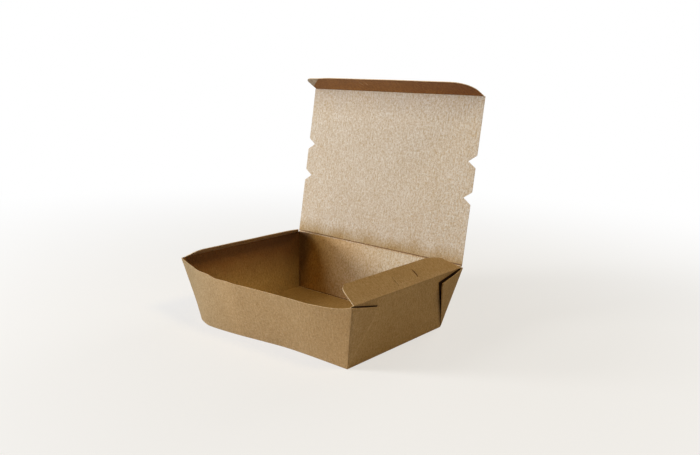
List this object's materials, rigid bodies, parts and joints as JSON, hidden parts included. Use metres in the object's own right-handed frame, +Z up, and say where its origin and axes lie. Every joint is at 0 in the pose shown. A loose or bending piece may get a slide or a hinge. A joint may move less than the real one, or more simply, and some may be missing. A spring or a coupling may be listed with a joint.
{
  "type": "takeaway box",
  "caption": "Shallow folded kraft board takeaway box with flared walls, hinged lid with tuck flap, and folding side flaps.",
  "frame": {"origin": "centre of the base on its underside", "axes": "+X along the front to the right, +Y towards the lid fold, +Z up"},
  "size_m": [0.1818, 0.1649, 0.196],
  "materials": {
    "kraft_board": "matt unbleached kraft board"
  },
  "bodies": {
    "tray": {"tray": "kraft_board"},
    "lid": {"lid_panel": "kraft_board"},
    "tuck": {"tuck_flap": "kraft_board"},
    "left_flap": {"left_side_flap": "kraft_board"},
    "right_flap": {"right_side_flap": "kraft_board"}
  },
  "joints": [
    {"name": "lid_hinge", "type": "hinge", "parent": "tray", "child": "lid", "pos_m": [0, 0.068, 0.0508], "axis": [1, 0, 0], "range_deg": [-81, 99]},
    {"name": "tuck_fold", "type": "hinge", "parent": "lid", "child": "tuck", "pos_m": [0, 0.08899, 0.18335], "axis": [1, 0, 0], "range_deg": [-30, 36.4]},
    {"name": "left_flap_fold", "type": "hinge", "parent": "tray", "child": "left_flap", "pos_m": [-0.09, 0, 0.05], "axis": [0, 1, 0], "range_deg": [-22.2, 27.1]},
    {"name": "right_flap_fold", "type": "hinge", "parent": "tray", "child": "right_flap", "pos_m": [0.09, 0, 0.05], "axis": [0, -1, 0], "range_deg": [-30, 36.6]}
  ],
  "couplings": [
    {"joint": "tuck_fold", "follows": "lid_hinge", "ratio": 0.36667},
    {"joint": "left_flap_fold", "follows": "lid_hinge", "ratio": 0.27273},
    {"joint": "right_flap_fold", "follows": "lid_hinge", "ratio": 0.36869}
  ]
}
